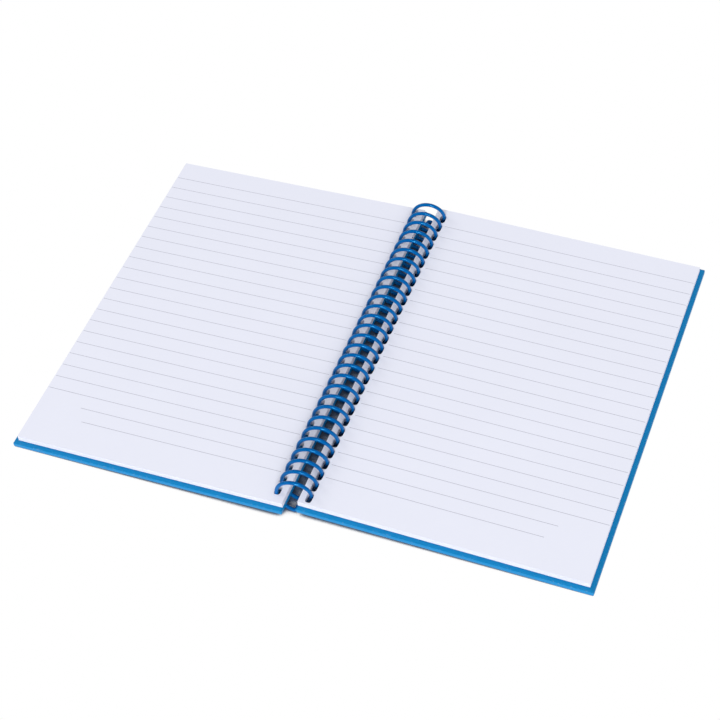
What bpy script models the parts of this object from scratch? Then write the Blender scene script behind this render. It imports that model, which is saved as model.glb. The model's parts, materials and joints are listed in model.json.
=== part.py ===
"""An open hardcover notebook bound with one plastic coil, lying on its covers.

Units are metres. The coil runs along Y, +X is the right-hand page and +Z is up.
The origin is under the middle of the coil, on the surface that the notebook lies on.
Each side is built flat about the coil's axis and then laid down by its slope. The left
side is the right side turned half a turn about Z, as the coil's helix is too.
"""

import math

import bmesh
import bpy
from mathutils import Matrix, Vector

MM = 0.001

# Coil
COIL_RADIUS = 8.7 * MM           # centreline of the wire
WIRE_DIAMETER = 1.6 * MM
HOLE_PITCH = 7.1 * MM            # one turn of the coil
END_MARGIN = 5.0 * MM            # at least, from a leaf's end to the middle of its last hole
POINTS_PER_TURN = 10
COIL_FLOOR_GAP = 0.10 * MM       # under the lowest turn
TAIL_TURN = math.radians(180.0)  # each end, past the crown of its last turn
TAIL_BEND = math.radians(12.0)   # from there to the bend
TAIL_LENGTH = 2.6 * MM           # end of the wire, bent in along the spine

# Leaves, from the top of a side down
LEAF_WIDTH = 147.5 * MM
LEAF_HEIGHT = 210.0 * MM
SHEET_THICKNESS = 0.10 * MM
SHEETS_IN_PIECE = (1, 1, 7, 8, 11)
PIECE_NAMES = ("leaf_top", "leaf_second", "leaves_upper", "leaves_middle", "leaves_lower")
AIR_GAP = 0.10 * MM              # between leaves, and between the layers of a cover
AXIS_GAP = 0.20 * MM             # from the coil's axis down to the top leaf
LEAF_HOLE_WIDTH = 4.2 * MM       # across the spine
LEAF_HOLE_MARGIN = 4.7 * MM      # spine edge to the middle of a hole
LEAF_HOLE_INSET = 0.40 * MM      # hole's middle, inside the wire's centreline
CORNER_SHARE = 0.25              # of a leaf hole's shorter side, cut off its corners
HOLE_CLEARANCE = 0.15 * MM       # wire to either end of a hole

# Covers
WRAP_THICKNESS = 0.25 * MM
BOARD_THICKNESS = 2.10 * MM
ENDPAPER_THICKNESS = 0.20 * MM
ENDPAPER_INSET = 0.6 * MM        # from the wrap's outer edge
LEDGE = 2.5 * MM                 # cover past the leaves at three edges
COVER_HOLE_WIDTH = 4.9 * MM
COVER_HOLE_MARGIN = 3.3 * MM     # spine edge to the middle of a hole
COVER_HOLE_INSET = 0.69 * MM     # hole's middle, inside the wire's centreline

WALK = HOLE_PITCH / 2            # how far the wire shifts along the spine in half a turn
SIDE_SHIFT = HOLE_PITCH / 4      # each side's middle, along the spine
WIRE_RADIUS = WIRE_DIAMETER / 2
AXIS_HEIGHT = COIL_RADIUS + WIRE_RADIUS + COIL_FLOOR_GAP
HOLE_COUNT = 2 * int((LEAF_HEIGHT / 2 - END_MARGIN) / HOLE_PITCH) + 1
CUT_OVERLAP = 1.0 * MM           # how far a cutter reaches past the piece

COVER_THICKNESS = WRAP_THICKNESS + BOARD_THICKNESS + ENDPAPER_THICKNESS + 2 * AIR_GAP
STACK_THICKNESS = (sum(SHEETS_IN_PIECE) * SHEET_THICKNESS
                   + (len(SHEETS_IN_PIECE) - 1) * AIR_GAP)
COVER_TOP = AXIS_GAP + STACK_THICKNESS + AIR_GAP
COVER_BOTTOM = COVER_TOP + COVER_THICKNESS

BLUE_WRAP = ((0.006, 0.150, 0.430, 1.0), 0.45)
BLUE_ENDPAPER = ((0.004, 0.165, 0.480, 1.0), 0.60)
GREY_BOARD = ((0.330, 0.310, 0.280, 1.0), 0.90)
WHITE_PAPER = ((0.800, 0.810, 0.860, 1.0), 0.85)
BLUE_PLASTIC = ((0.003, 0.090, 0.400, 1.0), 0.25)


def slope_of_a_side():
    """Angle that lets the cover's outer lower edge touch the floor."""
    reach = cover_spine_edge() + cover_width()
    return math.atan2(reach, COVER_BOTTOM) - math.acos(AXIS_HEIGHT / math.hypot(reach, COVER_BOTTOM))


def wire_offset(depth):
    """Distance from the axis to the wire's centreline, across the spine, at a depth."""
    return math.sqrt(COIL_RADIUS ** 2 - depth ** 2)


def wire_shift(depth):
    """How far the wire has moved along the spine, from the axis's height to a depth."""
    return HOLE_PITCH * math.asin(depth / COIL_RADIUS) / (2 * math.pi)


def leaf_spine_edge():
    return wire_offset(AXIS_GAP + STACK_THICKNESS / 2) - LEAF_HOLE_INSET - LEAF_HOLE_MARGIN


def cover_spine_edge():
    middle = (COVER_TOP + COVER_BOTTOM) / 2
    return wire_offset(middle) - COVER_HOLE_INSET - COVER_HOLE_MARGIN


def cover_width():
    return leaf_spine_edge() + LEAF_WIDTH + LEDGE - cover_spine_edge()


def hole_length(depth_top, depth_bottom):
    """Length along the spine that clears the wire from one side's rest to the other's."""
    across = wire_shift(depth_bottom) - wire_shift(depth_top)
    lean = math.atan2(HOLE_PITCH, 2 * math.pi * COIL_RADIUS)
    return WALK + across + WIRE_DIAMETER / math.cos(lean) + 2 * HOLE_CLEARANCE


def clear_scene():
    for old in list(bpy.data.objects):
        bpy.data.objects.remove(old, do_unlink=True)


def new_collection(name):
    collection = bpy.data.collections.new(name)
    bpy.context.scene.collection.children.link(collection)
    return collection


def material(name, look):
    color, roughness = look
    made = bpy.data.materials.new(name)
    made.use_nodes = True
    shader = made.node_tree.nodes["Principled BSDF"]
    shader.inputs["Base Color"].default_value = color
    shader.inputs["Roughness"].default_value = roughness
    shader.inputs["Metallic"].default_value = 0.0
    made.diffuse_color = color
    return made


def mesh_object(name, bm, collection):
    mesh = bpy.data.meshes.new(name)
    bm.to_mesh(mesh)
    bm.free()
    made = bpy.data.objects.new(name, mesh)
    collection.objects.link(made)
    return made


def box(name, low, high, collection):
    low, high = Vector(low), Vector(high)
    bm = bmesh.new()
    size = Matrix.Diagonal((*(high - low), 1.0))
    bmesh.ops.create_cube(bm, size=1.0, matrix=Matrix.Translation((low + high) / 2) @ size)
    return mesh_object(name, bm, collection)


def make_cutter(made):
    made.hide_render = True
    made.display_type = "WIRE"
    return made


def add_slot(bm, center, width, length, height, corner):
    """An upright prism with an eight-sided outline, or a four-sided one with no corner cut."""
    x, y = width / 2, length / 2
    outline = [(x, y - corner), (x - corner, y), (corner - x, y), (-x, y - corner),
               (-x, corner - y), (corner - x, -y), (x - corner, -y), (x, corner - y)]
    if corner == 0:
        outline = [(x, y), (-x, y), (-x, -y), (x, -y)]
    base = [bm.verts.new((center[0] + px, center[1] + py, center[2] - height / 2))
            for px, py in outline]
    floor = bm.faces.new(base)
    raised = bmesh.ops.extrude_face_region(bm, geom=[floor])
    lifted = [v for v in raised["geom"] if isinstance(v, bmesh.types.BMVert)]
    bmesh.ops.translate(bm, verts=lifted, vec=(0, 0, height))


def slots(name, offset, depth_top, depth_bottom, width, corner, collection):
    """Cutter for the row of holes in one piece."""
    depth = (depth_top + depth_bottom) / 2
    length = hole_length(depth_top, depth_bottom)
    height = depth_bottom - depth_top + 2 * CUT_OVERLAP
    bm = bmesh.new()
    for i in range(HOLE_COUNT):
        along = (i - (HOLE_COUNT - 1) / 2) * HOLE_PITCH + wire_shift(depth)
        add_slot(bm, (offset, along, -depth), width, length, height, corner)
    bmesh.ops.recalc_face_normals(bm, faces=bm.faces)
    return make_cutter(mesh_object(name, bm, collection))


def cut(piece, cutter):
    boolean = piece.modifiers.new("cut_" + cutter.name, "BOOLEAN")
    boolean.operation = "DIFFERENCE"
    boolean.solver = "EXACT"
    boolean.object = cutter


def lay_down(made, side):
    """Sets a piece's origin on the coil's axis and lays it on its side of the spine."""
    made.location = (0, 0, AXIS_HEIGHT)
    made.rotation_euler = (0, slope_of_a_side(), 0 if side == "right" else math.pi)


def leaves(side, look, parts, cutters):
    """The leaves of one side: single ones on top, and bundles that lie together below."""
    depth = AXIS_GAP
    edge = leaf_spine_edge()
    half = LEAF_HEIGHT / 2
    for piece, sheets in zip(PIECE_NAMES, SHEETS_IN_PIECE):
        bottom = depth + sheets * SHEET_THICKNESS
        name = f"{side}_{piece}"
        made = box(name, (edge, SIDE_SHIFT - half, -bottom),
                   (edge + LEAF_WIDTH, SIDE_SHIFT + half, -depth), parts)
        length = hole_length(depth, bottom)
        cutter = slots(name + "_holes", edge + LEAF_HOLE_MARGIN, depth, bottom,
                       LEAF_HOLE_WIDTH, min(LEAF_HOLE_WIDTH, length) * CORNER_SHARE, cutters)
        cut(made, cutter)
        made.data.materials.append(look)
        lay_down(made, side)
        lay_down(cutter, side)
        depth = bottom + AIR_GAP


def cover(side, name, looks, parts, cutters):
    """One hard cover: a board in a wrap that is turned up round its edges, and an endpaper."""
    wrap_look, board_look, paper_look = looks
    half = LEAF_HEIGHT / 2 + LEDGE
    low_y, high_y = SIDE_SHIFT - half, SIDE_SHIFT + half
    near = cover_spine_edge()
    far = near + cover_width()
    board_top = COVER_TOP + ENDPAPER_THICKNESS + AIR_GAP
    board_bottom = board_top + BOARD_THICKNESS
    step = WRAP_THICKNESS + AIR_GAP

    wrap = box(name + "_wrap", (near, low_y, -COVER_BOTTOM), (far, high_y, -board_top), parts)
    pocket = box(name + "_pocket", (near + WRAP_THICKNESS, low_y + WRAP_THICKNESS,
                                    -board_bottom - AIR_GAP),
                 (far - WRAP_THICKNESS, high_y - WRAP_THICKNESS, CUT_OVERLAP - board_top), cutters)
    lay_down(make_cutter(pocket), side)
    cut(wrap, pocket)
    board = box(name + "_board", (near + step, low_y + step, -board_bottom),
                (far - step, high_y - step, -board_top), parts)
    endpaper = box(name + "_endpaper", (near + ENDPAPER_INSET, low_y + ENDPAPER_INSET,
                                        -COVER_TOP - ENDPAPER_THICKNESS),
                   (far - ENDPAPER_INSET, high_y - ENDPAPER_INSET, -COVER_TOP), parts)
    cutter = slots(name + "_holes", near + COVER_HOLE_MARGIN, COVER_TOP, COVER_BOTTOM,
                   COVER_HOLE_WIDTH, 0, cutters)
    lay_down(cutter, side)
    for made, look in ((wrap, wrap_look), (board, board_look), (endpaper, paper_look)):
        cut(made, cutter)
        made.data.materials.append(look)
        lay_down(made, side)


def helix_point(turn):
    """Point of the coil's centreline; turn is its angle from the middle crown."""
    return Vector((COIL_RADIUS * math.sin(turn), HOLE_PITCH * turn / (2 * math.pi),
                   AXIS_HEIGHT + COIL_RADIUS * math.cos(turn)))


def coil_points():
    """The helix from tail to tail, with each end bent in along the spine."""
    last_crown = math.pi * (HOLE_COUNT - 1)
    step = 2 * math.pi / POINTS_PER_TURN
    count = round((last_crown + TAIL_TURN) / step)
    turns = [i * step for i in range(-count, count + 1)]
    corner = last_crown + TAIL_TURN + TAIL_BEND
    tail = Vector((0, TAIL_LENGTH, 0))
    first, last = helix_point(-corner), helix_point(corner)
    return [first + tail, first] + [helix_point(turn) for turn in turns] + [last, last - tail]


def least_gap(points):
    """Least clear distance between stretches of the wire that are half a turn to two turns apart."""
    half_turn = POINTS_PER_TURN // 2
    nearest = min((a - b).length for i, a in enumerate(points)
                  for b in points[i + half_turn:i + 4 * half_turn + 1])
    return nearest - WIRE_DIAMETER


def coil(look, parts):
    points = coil_points()
    print(f"Coil's least gap to itself: {least_gap(points) / MM:.2f} mm")
    curve = bpy.data.curves.new("coil", "CURVE")
    curve.dimensions = "3D"
    curve.bevel_depth = WIRE_RADIUS
    curve.bevel_resolution = 1
    curve.use_fill_caps = True
    spline = curve.splines.new("POLY")
    spline.points.add(len(points) - 1)
    for target, point in zip(spline.points, points):
        target.co = (*point, 1.0)
    made = bpy.data.objects.new("coil", curve)
    made.data.materials.append(look)
    parts.objects.link(made)


def main():
    clear_scene()
    parts = new_collection("notebook")
    cutters = new_collection("cutters")
    wrap = material("cover_wrap", BLUE_WRAP)
    board = material("grey_board", GREY_BOARD)
    endpaper = material("endpaper", BLUE_ENDPAPER)
    paper = material("ruled_paper", WHITE_PAPER)
    plastic = material("coil_plastic", BLUE_PLASTIC)
    for side, name in (("right", "back"), ("left", "front")):
        cover(side, name, (wrap, board, endpaper), parts, cutters)
        leaves(side, paper, parts, cutters)
    coil(plastic, parts)
    print(f"Slope of a side: {math.degrees(slope_of_a_side()):.3f} degrees")


main()
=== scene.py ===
"""Looks for an open, coil-bound, ruled notebook with hard covers.

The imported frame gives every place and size. Each side of the notebook is worked out in a flat
plane, with x out from the coil's axis, y along it and z up from it, and is then laid down by
the slope of its cover. All lengths are metres.
"""

import json
import math

import bmesh
import bpy
import numpy as np
from mathutils import Matrix, Vector


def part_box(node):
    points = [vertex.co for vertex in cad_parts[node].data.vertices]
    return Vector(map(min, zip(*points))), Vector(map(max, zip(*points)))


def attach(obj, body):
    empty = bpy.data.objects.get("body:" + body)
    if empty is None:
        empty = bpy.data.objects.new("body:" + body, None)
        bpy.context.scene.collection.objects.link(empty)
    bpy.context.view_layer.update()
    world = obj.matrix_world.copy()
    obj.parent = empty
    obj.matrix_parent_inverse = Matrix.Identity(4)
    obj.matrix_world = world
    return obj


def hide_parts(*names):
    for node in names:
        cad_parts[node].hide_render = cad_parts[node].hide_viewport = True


bl_info = {
    "name": "Open Coil Notebook",
    "version": (1, 0, 0),
    "blender": (4, 5, 0),
    "location": "View3D > Sidebar > Notebook",
    "description": "Sheets, covers, coil, lamps and camera for an open coil-bound notebook",
    "category": "Add Mesh",
}

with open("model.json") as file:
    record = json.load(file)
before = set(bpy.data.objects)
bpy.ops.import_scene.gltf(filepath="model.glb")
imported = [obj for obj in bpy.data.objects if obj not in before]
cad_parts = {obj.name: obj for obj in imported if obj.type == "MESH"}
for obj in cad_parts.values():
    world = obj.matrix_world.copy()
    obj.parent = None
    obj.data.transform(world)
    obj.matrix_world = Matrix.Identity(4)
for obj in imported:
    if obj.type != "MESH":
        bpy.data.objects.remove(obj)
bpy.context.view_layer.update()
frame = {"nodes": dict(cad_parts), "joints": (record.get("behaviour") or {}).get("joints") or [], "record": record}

MM = 0.001
WELD = 1e-6                      # points nearer than this become one
PHOTO_PIXELS = 720
SENSOR = 0.036                   # width of the camera's film
SHARP_ANGLE = math.radians(35.0)       # an edge that turns more than this stays sharp
WIRE_SHARP_ANGLE = math.radians(60.0)  # and so on the coil

# Coil, with the frame's pitch, turns and length of tail
HOLE_PITCH = 7.1 * MM            # one turn
HOLE_COUNT = 29
HOLE_CLEARANCE = 0.15 * MM       # wire to either end of a hole
TAIL_TURN = math.radians(192.0)  # each end of the wire, past the crown of its last turn
TAIL_LENGTH = 2.6 * MM           # end of the wire, bent in along the spine
TAIL_BEND = 1.3 * MM             # from the bend's corner to either end of its curve
BEND_STEPS, TAIL_STEPS = 8, 4
CAP_RADII = (0.0, 0.55, 0.85, 1.0)    # rings of a wire's end, as shares of its radius
CAP_DEPTHS = (0.0, 0.03, 0.10, 0.25)  # how far each is behind the tip, as such shares

# Holes as they are seen; a higher power is squarer, and 2 is an ellipse
LEAF_HOLE_WIDTH = 3.4 * MM       # across the spine
LEAF_HOLE_MARGIN = 4.82 * MM     # spine edge to the middle of a hole
LEAF_HOLE_POWER = 3.4
COVER_HOLE_WIDTH = 4.9 * MM
COVER_HOLE_MARGIN = 3.3 * MM
COVER_HOLE_POWER = 5.0

# Sheets
LEAF_PIECES = ("leaf_top", "leaf_second", "leaves_upper", "leaves_middle", "leaves_lower")
SHEET_ROOM = 0.1 * MM            # one sheet and the air at it
SINGLE_COLUMNS, BUNDLE_COLUMNS = 10, 4  # of the grid beyond the holes
FAN_START = 0.25                 # share of a sheet's width that stays level
FAN_WAVES = ((0.25, 38 * MM), (0.12, 15 * MM))  # share of the rise, and length of a radian
SPINE_STRAY = 0.3                # share of the unevenness that the spine edge has
SEEDS = {"right": 29, "left": 71}

# Ruled lines and paper
RULE_START = 11.2 * MM           # from the coil's axis
RULE_GAP_OUTSIDE = 0.5 * MM      # from a page's outer edge
RULE_SHORT_COUNT = 2             # lowest lines, which stop short
RULE_SHORT_BY = 27.5 * MM        # of the lowest line, more than the gap
RULE_SHORT_STEP = 4.5 * MM       # less than that, for the line above it
RULE_SOFTNESS = 0.25             # of half a line's width, over which its edge fades
INK_LEAST, INK_SPECKLE = 0.68, 0.5  # a line's strength at least, and what its specks add
PAPER_SHADOW = 0.965             # of the paper's colour, in its darkest parts
PAPER_MOTTLED, PAPER_FIBROUS = 0.45, 0.35  # how far towards that each pattern goes
PAPER_WAVE, PAPER_GRAIN = 0.9 * MM, 0.010 * MM  # depths of the two bumps
PAPER_STRETCH = (1.0, 0.6, 1.0)  # of the wave's pattern
PAPER_ROUGHNESS, FIBRE_ROUGHNESS = 0.74, 0.12  # at least, and what fibres add

# Covers
COVER_COLUMNS = 12
COVER_RIM_STEPS, LINING_RIM_STEPS = 5, 3
TURNED_IN = 0.7                  # share of the room between board and lining that the skin has
LINING_RADIUS = 0.08 * MM        # rounding of a lining's edge
WRAP_ROUGHNESS, LINING_ROUGHNESS = 0.34, 0.48  # at least
GRAIN_ROUGHNESS, WEAR_ROUGHNESS = 0.14, 0.2    # what each adds
COVER_SHADES = (0.86, 1.06)      # of the blue, in its darkest and lightest parts
COVER_BLOTCHED, COVER_GRAINED = 0.6, 0.4  # how far from dark to light each pattern goes
COVER_GRAIN = 0.012 * MM         # depth of the bump
COVER_SHINE = 0.4
COVER_REFLECTION = (0.4, 0.8, 1.0, 1.0)
WEAR_REACH = (0.18 * MM, 0.55 * MM)  # from side and face together: where wear is full, and ends
WEAR_PATCHES = (0.53, 0.68)      # of a noise: where wear begins, and is full
WEAR_STRENGTH = 0.55
WORN_BLUE, WORN_WHITE = 0.5, 0.22  # how much of the blue stays, and how much white is added
BOARD_SHADES = (0.75, 1.25)      # of the board's colour, in its darkest and lightest fibres
BOARD_STRETCH = (0.5, 1.0, 3.0)  # of the fibres' pattern
BOARD_GRAIN = 0.04 * MM          # depth of the bump
BOARD_ROUGHNESS = 0.9
SPECK_COLOUR = (0.50, 0.48, 0.44)
SPECK_PATCHES = (0.62, 0.72)     # of a noise: where specks begin, and are full
SPECK_STRENGTH = 0.5

# Coil's plastic
COIL_ROUGHNESS = 0.08            # at least
CLOUD_ROUGHNESS, FINE_ROUGHNESS = 0.06, 0.05  # what each pattern adds
COIL_SHADES = (0.9, 1.08)        # of the blue, in its darkest and lightest parts
COIL_WAVE, COIL_GRAIN = 0.02 * MM, 0.0015 * MM  # depths of the two bumps
COIL_SHINE = 0.6
COIL_REFLECTION = (0.10, 0.60, 1.0, 1.0)

# Noise patterns: size of a blotch, detail and roughness
INK_NOISE = (0.12 * MM, 2.0, 0.5)
MOTTLE_NOISE = (9 * MM, 3.0, 0.6)
PAPER_FIBRE_NOISE = (0.35 * MM, 4.0, 0.65)
SHEET_NOISE = (55 * MM, 1.0, 0.5)
COVER_GRAIN_NOISE = (0.22 * MM, 3.0, 0.6)
BLOTCH_NOISE = (7 * MM, 3.0, 0.6)
SCUFF_NOISE = (1.1 * MM, 4.0, 0.7)
BOARD_FIBRE_NOISE = (0.5 * MM, 5.0, 0.7)
SPECK_NOISE = (0.18 * MM, 2.0, 0.5)
CLOUD_NOISE = (3.0 * MM, 3.0, 0.6)
FINE_NOISE = (0.25 * MM, 3.0, 0.6)

# Stage
CAMERA_CLIP = (0.01, 20.0)
FLOOR_REACH = 4.0                # from the middle to each edge
FLOOR_ROUGHNESS = 0.9
CLOSED_REACH = 0.03              # how far from the floor a surface still closes it in
CLOSED_SAMPLES = 16
CLOSED_SHARES = (0.30, 0.50)     # open share of the sky at which the floor is dark, and white
# painted shade: the floor's colour where it is closed in, a dark blue-grey
PAINTED_SHADE_COLOUR = (0.10, 0.15, 0.23)
DOME_STRENGTH = 0.715
DOME_SEEN = (("Is Glossy Ray", 0.20), ("Is Camera Ray", 1.0))  # its strength for these rays
LAMPS = (                        # name, place, size and power
    ("key_lamp", (-4.4, 1.0, 3.2), (2.0, 1.4), 34.0),
    ("fill_lamp", (1.2, -5.1, 2.1), (1.8, 1.8), 232.0),
)

# Places: each side's cover and the way its x goes, the hinges' height and the covers' slope
SIDES = {"right": ("back", 1.0), "left": ("front", -1.0)}
AXIS_HEIGHT = frame["joints"][0]["pos_m"][2]
BACK_FACE = frame["record"]["mounts"][0]["axis"]
SLOPE = math.atan2(-BACK_FACE[0], -BACK_FACE[2])
COIL_LOW, COIL_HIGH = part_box("coil")


def laid(side):
    """Matrix that takes a side's flat plane to its place in the frame."""
    turn = 0.0 if side == "right" else math.pi
    return (Matrix.Translation((0, 0, AXIS_HEIGHT)) @ Matrix.Rotation(turn, 4, "Z")
            @ Matrix.Rotation(SLOPE, 4, "Y"))


def moved(points, matrix):
    """Points, in an array whose last axis is x, y, z, taken through a matrix."""
    m = np.array(matrix)
    return np.asarray(points) @ m[:3, :3].T + m[:3, 3]


def flat_box(node, side):
    """Lowest and highest corner of a CAD node in its side's flat plane."""
    mesh = frame["nodes"][node].data
    points = np.empty(3 * len(mesh.vertices))
    mesh.vertices.foreach_get("co", points)
    flat = moved(points.reshape(-1, 3), laid(side).inverted())
    return flat.min(0), flat.max(0)


# Sizes and colours that a user would change

class SheetSettings(bpy.types.PropertyGroup):
    """Sheets and what is printed on them."""

    thickness: bpy.props.FloatProperty(
        name="Sheet thickness", description="Paper of one sheet; the rest of its room is air",
        default=0.080 * MM, unit="LENGTH", precision=6)
    fan: bpy.props.FloatProperty(
        name="Fan", description="How far the top sheet's outer edge lifts from the stack",
        default=0.22 * MM, unit="LENGTH", precision=6)
    unevenness: bpy.props.FloatProperty(
        name="Unevenness", description="How far a sheet's cut edges stray from the block's",
        default=0.06 * MM, unit="LENGTH", precision=6)
    rule_spacing: bpy.props.FloatProperty(
        name="Rule spacing", description="From one ruled line to the next",
        default=8.17 * MM, unit="LENGTH", precision=5)
    rule_foot: bpy.props.FloatProperty(
        name="Foot margin", description="From the foot of a page to its lowest line",
        default=18.0 * MM, unit="LENGTH", precision=5)
    rule_count: bpy.props.IntProperty(
        name="Ruled lines", description="Lines on a page", default=23, min=1)
    rule_width: bpy.props.FloatProperty(
        name="Rule width", description="Width of a printed line",
        default=0.26 * MM, unit="LENGTH", precision=6)
    paper: bpy.props.FloatVectorProperty(
        name="Paper", description="Colour of the paper", subtype="COLOR",
        default=(0.800, 0.815, 0.920), min=0.0, max=1.0)
    ink: bpy.props.FloatVectorProperty(
        name="Ink", description="Colour of the ruled lines", subtype="COLOR",
        default=(0.355, 0.360, 0.435), min=0.0, max=1.0)


class CoverSettings(bpy.types.PropertyGroup):
    """Both covers."""

    skin: bpy.props.FloatProperty(
        name="Skin", description="Thickness of the printed paper round the board",
        default=0.20 * MM, unit="LENGTH", precision=6)
    edge_radius: bpy.props.FloatProperty(
        name="Edge radius", description="Rounding of a cover's edges",
        default=0.55 * MM, unit="LENGTH", precision=6)
    blue: bpy.props.FloatVectorProperty(
        name="Cover", description="Colour of the covers", subtype="COLOR",
        default=(0.001, 0.205, 0.490), min=0.0, max=1.0)
    board: bpy.props.FloatVectorProperty(
        name="Board", description="Colour of the board's core", subtype="COLOR",
        default=(0.300, 0.275, 0.240), min=0.0, max=1.0)


class CoilSettings(bpy.types.PropertyGroup):
    """The wire and how finely it is made."""

    wire: bpy.props.FloatProperty(
        name="Wire", description="Diameter of the plastic wire",
        default=1.95 * MM, unit="LENGTH", precision=5)
    steps: bpy.props.IntProperty(
        name="Steps", description="Rings of points in one turn", default=48, min=12)
    sides: bpy.props.IntProperty(
        name="Sides", description="Points round the wire", default=16, min=6)
    blue: bpy.props.FloatVectorProperty(
        name="Plastic", description="Colour of the coil", subtype="COLOR",
        default=(0.0003, 0.098, 0.335), min=0.0, max=1.0)


class StageSettings(bpy.types.PropertyGroup):
    """Camera and floor."""

    camera_place: bpy.props.FloatVectorProperty(
        name="Camera", description="Where the camera stands", subtype="TRANSLATION",
        default=(0.26355, -0.54885, 0.70976), precision=5)
    azimuth: bpy.props.FloatProperty(
        name="Azimuth", description="Camera's turn about the vertical, from the front",
        subtype="ANGLE", default=math.radians(25.995))
    elevation: bpy.props.FloatProperty(
        name="Elevation", description="Camera's angle above the horizon",
        subtype="ANGLE", default=math.radians(49.420))
    roll: bpy.props.FloatProperty(
        name="Roll", description="Camera's tilt about its own axis",
        subtype="ANGLE", default=math.radians(-6.820))
    focal_pixels: bpy.props.FloatProperty(
        name="Focal length", description="In pixels of the photograph", default=1779.42)
    floor: bpy.props.FloatVectorProperty(
        name="Floor", description="Colour of the floor", subtype="COLOR",
        default=(0.90, 0.90, 0.90), min=0.0, max=1.0)


# Surfaces

class Skin:
    """Grids of points that are welded into one closed mesh."""

    def __init__(self):
        self.points, self.quads, self.count = [], [], 0

    def add(self, grid):
        """Adds quads between the neighbours of a grid; axes before the last three are copies."""
        rows, columns = grid.shape[-3], grid.shape[-2]
        points = grid.reshape(-1, 3)
        index = np.arange(len(points)).reshape(-1, rows, columns) + self.count
        corners = (index[:, :-1, :-1], index[:, 1:, :-1], index[:, 1:, 1:], index[:, :-1, 1:])
        self.points.append(points)
        self.quads.append(np.stack(corners, -1).reshape(-1, 4))
        self.count += len(points)

    def piece(self, name, matrix, materials, sharp_angle=SHARP_ANGLE):
        """Makes the object: welded, facing out, and smooth up to the sharp angle."""
        mesh = bpy.data.meshes.new(name)
        mesh.from_pydata(moved(np.concatenate(self.points), matrix), [], np.concatenate(self.quads))
        bm = bmesh.new()
        bm.from_mesh(mesh)
        bmesh.ops.remove_doubles(bm, verts=bm.verts, dist=WELD)
        bmesh.ops.recalc_face_normals(bm, faces=bm.faces)
        bm.to_mesh(mesh)
        bm.free()
        mesh.shade_smooth()
        mesh.set_sharp_from_angle(angle=sharp_angle)
        for material in materials:
            mesh.materials.append(material)
        made = bpy.data.objects.new(name, mesh)
        bpy.context.scene.collection.objects.link(made)
        return made


class Plan:
    """Plan of a sheet or board, with a row of holes along its spine edge.

    Round each hole, points go from the hole's outline to its cell's edge in equal shares. The
    outline is a superellipse: |x/a| to a power plus |y/b| to that power is 1. It starts at 45
    degrees below x, as the cell does at its corner. Beyond the cells is a plain grid whose rows
    carry on the cells' points.
    """

    SIDE_STEPS = 6                           # along each side of a cell
    RING_SHARES = np.array([0.0, 0.3, 1.0])  # of the way from outline to cell

    def __init__(self, low, high, hole, columns):
        steps = self.SIDE_STEPS
        middles = hole["first"] + HOLE_PITCH * np.arange(HOLE_COUNT)
        splits = np.concatenate([[low[1]], middles[:-1] + HOLE_PITCH / 2, [high[1]]])
        start, length = splits[:-1, None], np.diff(splits)[:, None]
        band = 2 * hole["x"] - low[0]
        go = np.arange(steps) / steps
        full, none = np.ones(steps), np.zeros(steps)
        across = np.concatenate([full, 1 - go, none, go, [1.0]])
        along = np.concatenate([go, full, 1 - go, none, [0.0]])
        cell = np.stack([low[0] + (band - low[0]) * across + 0 * start, start + length * along], -1)
        angle = np.linspace(0, 2 * math.pi, 4 * steps + 1) - math.pi / 4
        round_x, round_y = np.cos(angle), np.sin(angle)
        power = 2 / hole["power"]
        outline = np.stack([
            hole["x"] + hole["half_width"] * np.sign(round_x) * abs(round_x) ** power + 0 * start,
            middles[:, None] + hole["half_length"] * np.sign(round_y) * abs(round_y) ** power], -1)
        share = self.RING_SHARES[None, :, None, None]
        self.rings = outline[:, None] * (1 - share) + cell[:, None] * share
        ys = np.concatenate([(start + length * go).ravel(), [high[1]]])
        beyond = np.linspace(band, high[0], columns + 1)
        self.field = np.stack(np.meshgrid(beyond, ys), -1)
        xs = np.concatenate([np.linspace(low[0], band, steps + 1), beyond[1:]])
        self.edges = (
            (np.stack([xs, 0 * xs + low[1]], -1), (0.0, -1.0)),
            (np.stack([0 * ys + high[0], ys], -1), (1.0, 0.0)),
            (np.stack([xs[::-1], 0 * xs + high[1]], -1), (0.0, 1.0)),
            (np.stack([0 * ys + low[0], ys[::-1]], -1), (-1.0, 0.0)),
        )

    def rim(self, corner_steps):
        """Outline's points with the direction out of each; a corner has a fan of directions."""
        points, out = [], []
        for edge, normal in self.edges:
            points.append(edge)
            out.append(np.broadcast_to(normal, edge.shape))
            turn = np.arange(1, corner_steps) / corner_steps * math.pi / 2
            fan = np.stack([normal[0] * np.cos(turn) - normal[1] * np.sin(turn),
                            normal[1] * np.cos(turn) + normal[0] * np.sin(turn)], -1)
            points.append(np.broadcast_to(edge[-1], fan.shape))
            out.append(fan)
        points.append(self.edges[0][0][:1])
        out.append(np.array([self.edges[0][1]]))
        return np.concatenate(points), np.concatenate(out)


def raised(plan_points, height):
    """Plan points with their height, which is a number or a function of the points."""
    z = height(plan_points) if callable(height) else np.full(plan_points.shape[:-1], height)
    return np.concatenate([plan_points, z[..., None]], -1)


def add_face(skin, plan, height):
    """One face of a plate: the rings round its holes and the grid beyond them."""
    skin.add(raised(plan.rings, height))
    skin.add(raised(plan.field, height))


def add_hole_walls(skin, plan, top, bottom):
    """Wall of each hole, from its outline in one face to its outline in the other."""
    outline = plan.rings[:, 0]
    skin.add(np.stack([raised(outline, top), raised(outline, bottom)], 1))


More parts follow.
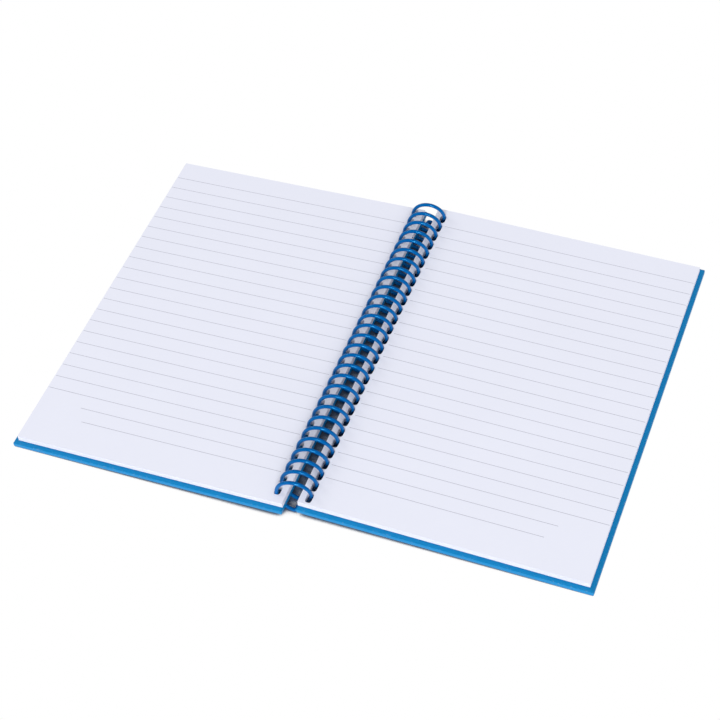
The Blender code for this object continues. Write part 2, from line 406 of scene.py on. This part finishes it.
def add_rim(skin, plan, top, bottom, radius=0.0, steps=4):
    """Wall round a plate. With a radius its profile is a quarter circle, a straight, a quarter."""
    points, out = plan.rim(steps if radius else 1)
    turn = np.linspace(0, math.pi / 2, steps + 1)
    if not radius:
        turn = turn[:1]

    def ring(t, level, way):
        """Outline, out by the radius times sine, and up or down by it times 1 less cosine."""
        return (raised(points + out * radius * math.sin(t), 0.0) + raised(points, level) * (0, 0, 1)
                + (0, 0, way * radius * (1 - math.cos(t))))

    above = [ring(t, top, -1) for t in turn]
    below = [ring(t, bottom, 1) for t in turn[::-1]]
    skin.add(np.stack(above + below))


def coil_radius():
    """Radius of the wire's centreline: half the frame's coil less the wire, so its outside stays."""
    return (COIL_HIGH.z - COIL_LOW.z - bpy.context.scene.notebook_coil.wire) / 2


def wire_shift(depth):
    """How far the wire has moved along the spine, from the axis's height to a depth.

    A pitch times the arc sine of depth over radius, over a turn.
    """
    return HOLE_PITCH * math.asin(depth / coil_radius()) / (2 * math.pi)


def slot_hole(x, width, depth_top, depth_bottom, power):
    """Place and size of the holes in a piece that lies between two depths under the axis.

    A hole's length is half a pitch, which a leaf walks as it turns over, with the leaning wire's
    width and room at either end.
    """
    lean = math.atan2(HOLE_PITCH, 2 * math.pi * coil_radius())
    wire = bpy.context.scene.notebook_coil.wire / math.cos(lean)
    travel = HOLE_PITCH / 2 + wire_shift(depth_bottom) - wire_shift(depth_top)
    middle = wire_shift((depth_top + depth_bottom) / 2)
    return {
        "x": x, "half_width": width / 2, "half_length": (travel + wire) / 2 + HOLE_CLEARANCE,
        "first": middle - HOLE_PITCH * (HOLE_COUNT - 1) / 2, "power": power,
    }


# Materials

class Wire:
    """A socket whose arithmetic adds Math nodes, so that a pattern reads as its formula."""

    def __init__(self, shade, socket):
        self.shade, self.socket = shade, socket

    def math(self, operation, *others):
        return self.shade.node("Math", {"operation": operation}, (self, *others))

    def __add__(self, other):
        return self.math("ADD", other)

    __radd__ = __add__

    def __mul__(self, other):
        return self.math("MULTIPLY", other)

    __rmul__ = __mul__

    def __sub__(self, other):
        return self.math("SUBTRACT", other)

    def __rsub__(self, other):
        return self.shade.node("Math", {"operation": "SUBTRACT"}, (other, self))

    def __truediv__(self, other):
        return self.math("DIVIDE", other)

    def __abs__(self):
        return self.math("ABSOLUTE")

    def __gt__(self, other):
        return self.math("GREATER_THAN", other)

    def __lt__(self, other):
        return self.math("LESS_THAN", other)

    def round(self):
        return self.math("ROUND")

    def smaller(self, other):
        return self.math("MINIMUM", other)

    def larger(self, other):
        return self.math("MAXIMUM", other)

    def step(self, low, high):
        """0 up to low, 1 from high, and smooth between."""
        return self.shade.node("MapRange", {"interpolation_type": "SMOOTHSTEP"},
                               {"Value": self, "From Min": low, "From Max": high})


class Shade:
    """One material: its nodes come from node(), and end in a Principled shader."""

    def __init__(self, name):
        self.material = bpy.data.materials.new(name)
        self.material.use_nodes = True
        self.tree = self.material.node_tree
        self.shader = self.tree.nodes["Principled BSDF"]
        self.place = self.node("TexCoord", out="Object")
        split = self.node("SeparateXYZ", {}, (self.place,)).socket.node
        self.x, self.y, self.z = (Wire(self, split.outputs[axis]) for axis in "XYZ")

    def node(self, kind, settings=None, inputs=(), out=0):
        """Adds a node: its settings first, then the values or links of its sockets."""
        made = self.tree.nodes.new("ShaderNode" + kind)
        for key, value in (settings or {}).items():
            setattr(made, key, value)
        pairs = inputs.items() if isinstance(inputs, dict) else enumerate(inputs)
        for key, value in pairs:
            self.feed(made.inputs[key], value)
        return Wire(self, made.outputs[out])

    def feed(self, socket, value):
        """Links a socket, or sets its value."""
        if isinstance(value, Wire):
            self.tree.links.new(value.socket, socket)
        else:
            socket.default_value = value

    def noise(self, pattern, place=None):
        """Noise from 0 to 1, by a pattern's size of blotch, detail and roughness."""
        size, detail, roughness = pattern
        return self.node("TexNoise", {"normalize": True}, {
            "Vector": place or self.place, "Scale": 1 / size, "Detail": detail,
            "Roughness": roughness})

    def stretched(self, scale):
        """The place on the piece with each axis scaled, for marks that are longer one way."""
        return self.node("VectorMath", {"operation": "MULTIPLY"}, (self.place, scale))

    def mix(self, share, first, second):
        """Colour between two colours."""
        colours = [c if isinstance(c, Wire) else (*c, 1.0) for c in (first, second)]
        return self.node("Mix", {"data_type": "RGBA"}, {0: share, 6: colours[0], 7: colours[1]}, 2)

    def bump(self, height, distance, normal=None):
        """Surface direction with a height from 0 to 1 that is that distance deep."""
        inputs = {"Height": height, "Distance": distance, "Strength": 1.0}
        if normal:
            inputs["Normal"] = normal
        return self.node("Bump", {}, inputs)

    def finish(self, **sockets):
        """Sets the shader's sockets; an underscore in a name stands for a space."""
        for key, value in sockets.items():
            if key == "Base_Color" and not isinstance(value, Wire):
                value = (*value, 1.0)
            self.feed(self.shader.inputs[key.replace("_", " ")], value)
        return self.material


def scaled(colour, share):
    """A colour made darker or lighter by a share."""
    return [min(1.0, c * share) for c in colour]


def ruled_paper(side):
    """Uncoated paper with faint fibre, and grey lines from near the holes to the outer edge.

    The two lowest lines stop short at the page's outer corner, which is bare.
    """
    settings = bpy.context.scene.notebook_sheets
    low, high = flat_box(side + "_leaf_top", side)
    foot = low[1] if side == "right" else -high[1]
    shade = Shade("ruled_paper_" + side)
    out = shade.x * SIDES[side][1]
    count = (shade.y - (foot + settings.rule_foot)) / settings.rule_spacing
    nearest = count.round().larger(0.0).smaller(settings.rule_count - 1.0)
    off_line = abs(count - nearest) * settings.rule_spacing
    half = settings.rule_width / 2
    line = 1 - off_line.step(half * (1 - RULE_SOFTNESS), half * (1 + RULE_SOFTNESS))
    short = nearest < RULE_SHORT_COUNT - 0.5
    far_end = (high[0] - RULE_GAP_OUTSIDE) - short * (RULE_SHORT_BY - nearest * RULE_SHORT_STEP)
    line = line * (out > RULE_START) * (out < far_end)
    line = line * (shade.noise(INK_NOISE) * INK_SPECKLE + INK_LEAST)
    fibre = shade.noise(PAPER_FIBRE_NOISE)
    darker = shade.noise(MOTTLE_NOISE) * PAPER_MOTTLED + fibre * PAPER_FIBROUS
    base = shade.mix(darker, settings.paper, scaled(settings.paper, PAPER_SHADOW))
    colour = shade.mix(line, base, settings.ink)
    wave = shade.bump(shade.noise(SHEET_NOISE, shade.stretched(PAPER_STRETCH)), PAPER_WAVE)
    grain = shade.bump(fibre, PAPER_GRAIN, normal=wave)
    roughness = fibre * FIBRE_ROUGHNESS + PAPER_ROUGHNESS
    return shade.finish(Base_Color=colour, Roughness=roughness, Normal=grain)


def cover_paper(name, blue, least_roughness):
    """Printed and laminated paper, with fine grain, and pale wear where the board's edge rubs.

    An edge is near where the distances from the nearest side and the nearest face are both small.
    """
    low, high = flat_box("back_wrap", "right")
    shade = Shade(name)
    out = abs(shade.x)
    flat_x = out * math.cos(SLOPE) - (shade.z - AXIS_HEIGHT) * math.sin(SLOPE)
    flat_z = out * math.sin(SLOPE) + (shade.z - AXIS_HEIGHT) * math.cos(SLOPE)
    flat_y = abs(shade.y * (shade.x > 0) - shade.y * (shade.x < 0) - float(low[1] + high[1]) / 2)
    half_y = float(high[1] - low[1]) / 2
    from_side = (float(high[0]) - flat_x).smaller(half_y - flat_y).smaller(flat_x - float(low[0]))
    from_face = (float(high[2]) - flat_z).smaller(flat_z - float(low[2]))
    near_edge = 1 - (from_side + from_face).step(*WEAR_REACH)
    wear = near_edge * shade.noise(SCUFF_NOISE).step(*WEAR_PATCHES)
    deep, light = (scaled(blue, share) for share in COVER_SHADES)
    worn = [c * WORN_BLUE + WORN_WHITE for c in blue]
    grain = shade.noise(COVER_GRAIN_NOISE)
    lighter = shade.noise(BLOTCH_NOISE) * COVER_BLOTCHED + grain * COVER_GRAINED
    colour = shade.mix(wear * WEAR_STRENGTH, shade.mix(lighter, deep, light), worn)
    roughness = least_roughness + grain * GRAIN_ROUGHNESS + wear * WEAR_ROUGHNESS
    return shade.finish(Base_Color=colour, Roughness=roughness,
                        Normal=shade.bump(grain, COVER_GRAIN),
                        Specular_IOR_Level=COVER_SHINE, Specular_Tint=COVER_REFLECTION)


def grey_board():
    """Pressed grey board with fibres and faint layers."""
    grey = bpy.context.scene.notebook_covers.board
    deep, light = (scaled(grey, share) for share in BOARD_SHADES)
    shade = Shade("grey_board_core")
    fibre = shade.noise(BOARD_FIBRE_NOISE, shade.stretched(BOARD_STRETCH))
    speck = shade.noise(SPECK_NOISE).step(*SPECK_PATCHES) * SPECK_STRENGTH
    colour = shade.mix(speck, shade.mix(fibre, deep, light), SPECK_COLOUR)
    return shade.finish(Base_Color=colour, Roughness=BOARD_ROUGHNESS,
                        Normal=shade.bump(fibre, BOARD_GRAIN))


def coil_plastic():
    """Smooth coloured plastic, a little uneven from being drawn and wound warm."""
    blue = bpy.context.scene.notebook_coil.blue
    deep, light = (scaled(blue, share) for share in COIL_SHADES)
    shade = Shade("coil_plastic_blue")
    cloud, fine = shade.noise(CLOUD_NOISE), shade.noise(FINE_NOISE)
    roughness = fine * FINE_ROUGHNESS + cloud * CLOUD_ROUGHNESS + COIL_ROUGHNESS
    bump = shade.bump(cloud, COIL_WAVE, normal=shade.bump(fine, COIL_GRAIN))
    return shade.finish(Base_Color=shade.mix(cloud, deep, light), Roughness=roughness, Normal=bump,
                        Specular_IOR_Level=COIL_SHINE, Specular_Tint=COIL_REFLECTION)


def floor_white():
    """White floor that shows as plain white where it is open, and keeps the object's shadow.

    In closed-in places, such as between the covers, its own colour is painted shade: it darkens to a blue-grey as
    the ambient occlusion falls.
    """
    shade = Shade("floor_white")
    white = bpy.context.scene.notebook_stage.floor
    open_share = shade.node("AmbientOcclusion", {"samples": CLOSED_SAMPLES},
                            {"Distance": CLOSED_REACH}, "AO")
    share = open_share.step(*CLOSED_SHARES)
    # painted shade: the floor's colour goes to dark blue-grey where ambient occlusion finds it closed in
    colour = shade.mix(share, PAINTED_SHADE_COLOUR, white)
    shade.finish(Base_Color=colour, Roughness=FLOOR_ROUGHNESS, Specular_IOR_Level=0.0)
    rays = shade.node("LightPath").socket.node.outputs
    seen = Wire(shade, rays["Is Camera Ray"]).larger(Wire(shade, rays["Is Glossy Ray"]))
    glow = shade.node("Emission", {}, {"Color": (1, 1, 1, 1), "Strength": 1.0})
    mixed = shade.node("MixShader", {}, {
        0: seen * share, 1: Wire(shade, shade.shader.outputs[0]), 2: glow})
    output = shade.tree.nodes["Material Output"]
    shade.tree.links.new(mixed.socket, output.inputs["Surface"])
    return shade.material


# Pieces

def make_leaves(side):
    """Every sheet of a side, each a thin closed plate that fans a little at its outer edge.

    The fan goes with the square of a sheet's rank, which is 1 at the top of the stack and 0 at
    its bottom.
    """
    settings = bpy.context.scene.notebook_sheets
    material = ruled_paper(side)
    boxes = {piece: flat_box(f"{side}_{piece}", side) for piece in LEAF_PIECES}
    counts = {piece: round((box[1][2] - box[0][2]) / SHEET_ROOM) for piece, box in boxes.items()}
    total = sum(counts.values())
    draws = np.random.default_rng(SEEDS[side])
    above = 0
    for piece in LEAF_PIECES:
        low, high = boxes[piece]
        skin = Skin()
        for i in range(counts[piece]):
            rank = (total - 1 - above) / (total - 1)
            above += 1
            depth = float(-high[2]) + i * SHEET_ROOM
            lift = settings.fan * rank ** 2
            top = fanned(-depth, lift, low, high)
            bottom = fanned(-depth - settings.thickness, lift, low, high)
            stray = draws.uniform(-1, 1, 3) * settings.unevenness
            corner_low = (low[0] + SPINE_STRAY * stray[2], low[1] + stray[0])
            corner_high = (high[0] + stray[1], high[1] + stray[0])
            hole = slot_hole(float(low[0]) + LEAF_HOLE_MARGIN, LEAF_HOLE_WIDTH, depth, depth,
                             LEAF_HOLE_POWER)
            columns = SINGLE_COLUMNS if counts[piece] == 1 else BUNDLE_COLUMNS
            plan = Plan(corner_low, corner_high, hole, columns)
            add_face(skin, plan, top)
            add_face(skin, plan, bottom)
            add_hole_walls(skin, plan, top, bottom)
            add_rim(skin, plan, top, bottom)
        made = skin.piece(f"{side}_paper_{piece}", laid(side), [material])
        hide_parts(f"{side}_{piece}")
        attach(made, node_body(f"{side}_{piece}"))


def fanned(height, lift, low, high):
    """Height of a sheet: level near the holes, then rising with the square of the distance.

    Along the spine the rise sways by the sum of two sine waves.
    """
    start = FAN_START * (high[0] - low[0])

    def surface(points):
        share = np.clip((points[..., 0] - low[0] - start) / (high[0] - low[0] - start), 0, 1)
        sway = 1 + sum(size * np.sin(points[..., 1] / length) for size, length in FAN_WAVES)
        return height + lift * share ** 2 * sway

    return surface


def node_body(node):
    """Name of the body that a CAD node rides on."""
    for body, nodes in frame["record"]["behaviour"]["bodies"].items():
        if node in nodes:
            return body
    raise ValueError(f"no body holds {node}")


def make_cover(side, materials):
    """A cover's printed skin with rounded edges, round its board, and the lining on top."""
    settings = bpy.context.scene.notebook_covers
    wrap, lining, board = materials
    name = SIDES[side][0]
    low, high = flat_box(name + "_wrap", side)
    board_high = flat_box(name + "_board", side)[1]
    line_low, line_high = flat_box(name + "_endpaper", side)
    radius, skin_depth = settings.edge_radius, settings.skin
    top, bottom = float(line_low[2]), float(low[2])
    turned_in = (top - float(board_high[2])) * TURNED_IN
    x = float(low[0]) + COVER_HOLE_MARGIN
    hole = slot_hole(x, COVER_HOLE_WIDTH, -float(line_high[2]), -bottom, COVER_HOLE_POWER)
    outer = Plan(low + radius, high - radius, hole, COVER_COLUMNS)
    inner = Plan(low + skin_depth, high - skin_depth, hole, COVER_COLUMNS)
    skin = Skin()
    add_face(skin, outer, top)
    add_face(skin, outer, bottom)
    add_rim(skin, outer, top, bottom, radius, COVER_RIM_STEPS)
    add_face(skin, inner, top - turned_in)
    add_face(skin, inner, bottom + skin_depth)
    add_rim(skin, inner, top - turned_in, bottom + skin_depth)
    add_hole_walls(skin, outer, top, top - turned_in)
    add_hole_walls(skin, outer, bottom + skin_depth, bottom)
    made = skin.piece(name + "_cover_skin", laid(side), [wrap])
    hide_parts(name + "_wrap")
    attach(made, node_body(name + "_wrap"))

    sheet = Skin()
    line_top, line_bottom = float(line_high[2]), float(line_low[2])
    plan = Plan(line_low + LINING_RADIUS, line_high - LINING_RADIUS, hole, COVER_COLUMNS)
    add_face(sheet, plan, line_top)
    add_face(sheet, plan, line_bottom)
    add_hole_walls(sheet, plan, line_top, line_bottom)
    add_rim(sheet, plan, line_top, line_bottom, LINING_RADIUS, LINING_RIM_STEPS)
    made = sheet.piece(name + "_cover_lining", laid(side), [lining])
    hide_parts(name + "_endpaper")
    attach(made, node_body(name + "_endpaper"))

    node = frame["nodes"][name + "_board"]
    for slot in node.material_slots:
        slot.material = board


def coil_path(steps):
    """Centreline of the wire: a helix, and at each end a bend of 90 degrees in along the spine.

    On the helix x is R sin u, y is a pitch times u over a turn, and z is R cos u above the axis.
    """
    radius = coil_radius()
    end = math.pi * (HOLE_COUNT - 1) + TAIL_TURN
    stop = end - TAIL_BEND / radius
    turn = np.linspace(-stop, stop, round(2 * stop / (2 * math.pi) * steps))

    def helix(u):
        return np.stack([radius * np.sin(u), HOLE_PITCH * u / (2 * math.pi),
                         AXIS_HEIGHT + radius * np.cos(u)], -1)

    share = np.linspace(0, 1, BEND_STEPS + 1)[1:, None]
    corner, start = helix(np.array(end)), helix(np.array(stop))
    after = corner - (0, TAIL_BEND, 0)
    curve = start * (1 - share) ** 2 + corner * 2 * share * (1 - share) + after * share ** 2
    straight = np.linspace(0, 1, TAIL_STEPS + 1)[1:, None]
    tail = after - (0, 1, 0) * straight * (TAIL_LENGTH - TAIL_BEND)
    last = np.concatenate([curve, tail])
    first = (last * (-1, -1, 1))[::-1]
    return np.concatenate([first, helix(turn), last])


def make_coil():
    """The wire: circles carried along its path, square to it, with rounded ends."""
    settings = bpy.context.scene.notebook_coil
    path = coil_path(settings.steps)
    along = np.gradient(path, axis=0)
    along /= np.linalg.norm(along, axis=1, keepdims=True)
    out = path - (0, 0, AXIS_HEIGHT)
    out[:, 1] = 0
    out -= along * (out * along).sum(1, keepdims=True)
    out /= np.linalg.norm(out, axis=1, keepdims=True)
    aside = np.cross(along, out)
    half = settings.wire / 2
    radii, depths = np.array(CAP_RADII) * half, np.array(CAP_DEPTHS) * half
    rows = [path, out, aside, np.full((len(path), 1), half)]
    for end, way in ((0, -1), (-1, 1)):
        centre = path[end] + way * along[end] * (depths[-1] - depths)[:, None]
        across = [np.tile(line[end], (len(radii), 1)) for line in (out, aside)]
        ring = [centre, *across, radii[:, None]]
        if way > 0:
            rows = [np.concatenate([a, b[::-1]]) for a, b in zip(rows, ring)]
        else:
            rows = [np.concatenate([b, a]) for a, b in zip(rows, ring)]
    centre, out, aside, spread = (row[:, None] for row in rows)
    angle = np.linspace(0, 2 * math.pi, settings.sides + 1)[None, :, None]
    skin = Skin()
    skin.add(centre + spread * (np.cos(angle) * out + np.sin(angle) * aside))
    made = skin.piece("coil_wire", Matrix.Identity(4), [coil_plastic()], WIRE_SHARP_ANGLE)
    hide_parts("coil")
    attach(made, node_body("coil"))


# Stage

def make_floor():
    """Wide white floor that faces up."""
    reach = np.linspace(-FLOOR_REACH, FLOOR_REACH, 3)
    skin = Skin()
    skin.add(raised(np.stack(np.meshgrid(reach, reach), -1), 0.0))
    floor = skin.piece("floor", Matrix.Identity(4), [floor_white()])
    if floor.data.polygons[0].normal.z < 0:
        floor.data.flip_normals()


def make_world():
    """Soft light from all round; white to the camera, and dim in reflections, so blues stay deep."""
    world = bpy.data.worlds.new("studio")
    bpy.context.scene.world = world
    world.use_nodes = True
    tree = world.node_tree
    rays = tree.nodes.new("ShaderNodeLightPath")
    mixed = tree.nodes["Background"]
    for ray, strength in DOME_SEEN:
        layer = tree.nodes.new("ShaderNodeBackground")
        layer.inputs["Color"].default_value = (1.0, 1.0, 1.0, 1.0)
        layer.inputs["Strength"].default_value = strength
        both = tree.nodes.new("ShaderNodeMixShader")
        tree.links.new(rays.outputs[ray], both.inputs[0])
        tree.links.new(mixed.outputs[0], both.inputs[1])
        tree.links.new(layer.outputs[0], both.inputs[2])
        mixed = both
    tree.nodes["Background"].inputs["Color"].default_value = (1.0, 1.0, 1.0, 1.0)
    tree.nodes["Background"].inputs["Strength"].default_value = DOME_STRENGTH
    tree.links.new(mixed.outputs[0], tree.nodes["World Output"].inputs["Surface"])


def make_lamp(name, place, size, power):
    """A rectangular soft box that faces the middle of the notebook."""
    lamp = bpy.data.lights.new(name, "AREA")
    lamp.shape = "RECTANGLE"
    lamp.size, lamp.size_y = size
    lamp.energy = power
    made = bpy.data.objects.new(name, lamp)
    made.location = place
    made.rotation_euler = (-Vector(place)).to_track_quat("-Z", "Y").to_euler()
    bpy.context.scene.collection.objects.link(made)


def make_camera():
    """Camera that looks down along its azimuth and elevation, and is rolled about its axis."""
    settings = bpy.context.scene.notebook_stage
    a, e, r = settings.azimuth, settings.elevation, settings.roll
    back = Vector((math.sin(a) * math.cos(e), -math.cos(a) * math.cos(e), math.sin(e)))
    right = Vector((math.cos(a), math.sin(a), 0))
    up = back.cross(right)
    turned = Matrix((right * math.cos(r) + up * math.sin(r),
                     up * math.cos(r) - right * math.sin(r), back)).transposed()
    camera = bpy.data.cameras.new("camera")
    camera.sensor_width = SENSOR / MM
    camera.lens = SENSOR / MM * settings.focal_pixels / PHOTO_PIXELS
    camera.clip_start, camera.clip_end = CAMERA_CLIP
    made = bpy.data.objects.new("camera", camera)
    made.matrix_world = Matrix.Translation(settings.camera_place) @ turned.to_4x4()
    bpy.context.scene.collection.objects.link(made)
    bpy.context.scene.camera = made


# Operators

class NOTEBOOK_OT_add_stage(bpy.types.Operator):
    """Add the floor, the lamps, the world and the camera"""

    bl_idname = "notebook.add_stage"
    bl_label = "Add Stage"
    bl_options = {"REGISTER", "UNDO"}

    def execute(self, context):
        make_camera()
        make_floor()
        make_world()
        for lamp in LAMPS:
            make_lamp(*lamp)
        context.scene.view_settings.view_transform = "Standard"
        return {"FINISHED"}


class NOTEBOOK_OT_add_leaves(bpy.types.Operator):
    """Add every sheet of both sides in place of the frame's leaf pieces"""

    bl_idname = "notebook.add_leaves"
    bl_label = "Add Leaves"
    bl_options = {"REGISTER", "UNDO"}

    def execute(self, context):
        for side in SIDES:
            make_leaves(side)
        return {"FINISHED"}


class NOTEBOOK_OT_add_covers(bpy.types.Operator):
    """Add the skins and linings of both covers round the frame's boards"""

    bl_idname = "notebook.add_covers"
    bl_label = "Add Covers"
    bl_options = {"REGISTER", "UNDO"}

    def execute(self, context):
        blue = tuple(context.scene.notebook_covers.blue)
        materials = (cover_paper("cover_paper_blue", blue, WRAP_ROUGHNESS),
                     cover_paper("lining_paper_blue", blue, LINING_ROUGHNESS), grey_board())
        for side in SIDES:
            make_cover(side, materials)
        return {"FINISHED"}


class NOTEBOOK_OT_add_coil(bpy.types.Operator):
    """Add the smooth plastic coil in place of the frame's"""

    bl_idname = "notebook.add_coil"
    bl_label = "Add Coil"
    bl_options = {"REGISTER", "UNDO"}

    def execute(self, context):
        make_coil()
        return {"FINISHED"}


class NOTEBOOK_PT_panel(bpy.types.Panel):
    """Lists the notebook's pieces, sizes and colours"""

    bl_idname = "NOTEBOOK_PT_panel"
    bl_label = "Open Coil Notebook"
    bl_space_type = "VIEW_3D"
    bl_region_type = "UI"
    bl_category = "Notebook"

    def draw(self, context):
        rows = (("notebook.add_stage", context.scene.notebook_stage),
                ("notebook.add_leaves", context.scene.notebook_sheets),
                ("notebook.add_covers", context.scene.notebook_covers),
                ("notebook.add_coil", context.scene.notebook_coil))
        for operator, settings in rows:
            box = self.layout.box()
            box.operator(operator)
            for name in settings.__annotations__:
                box.prop(settings, name)


SETTINGS = {
    "notebook_stage": StageSettings,
    "notebook_sheets": SheetSettings,
    "notebook_covers": CoverSettings,
    "notebook_coil": CoilSettings,
}
CLASSES = (
    *SETTINGS.values(), NOTEBOOK_OT_add_stage, NOTEBOOK_OT_add_leaves, NOTEBOOK_OT_add_covers,
    NOTEBOOK_OT_add_coil, NOTEBOOK_PT_panel,
)


def register():
    """Adds the classes, and each group of settings to the scene."""
    for cls in CLASSES:
        bpy.utils.register_class(cls)
    for name, group in SETTINGS.items():
        setattr(bpy.types.Scene, name, bpy.props.PointerProperty(type=group))


def unregister():
    """Takes away what register() added."""
    for name in SETTINGS:
        delattr(bpy.types.Scene, name)
    for cls in reversed(CLASSES):
        bpy.utils.unregister_class(cls)


def main():
    register()
    bpy.ops.notebook.add_stage()
    bpy.ops.notebook.add_leaves()
    bpy.ops.notebook.add_covers()
    bpy.ops.notebook.add_coil()


if __name__ == "__main__":
    main()
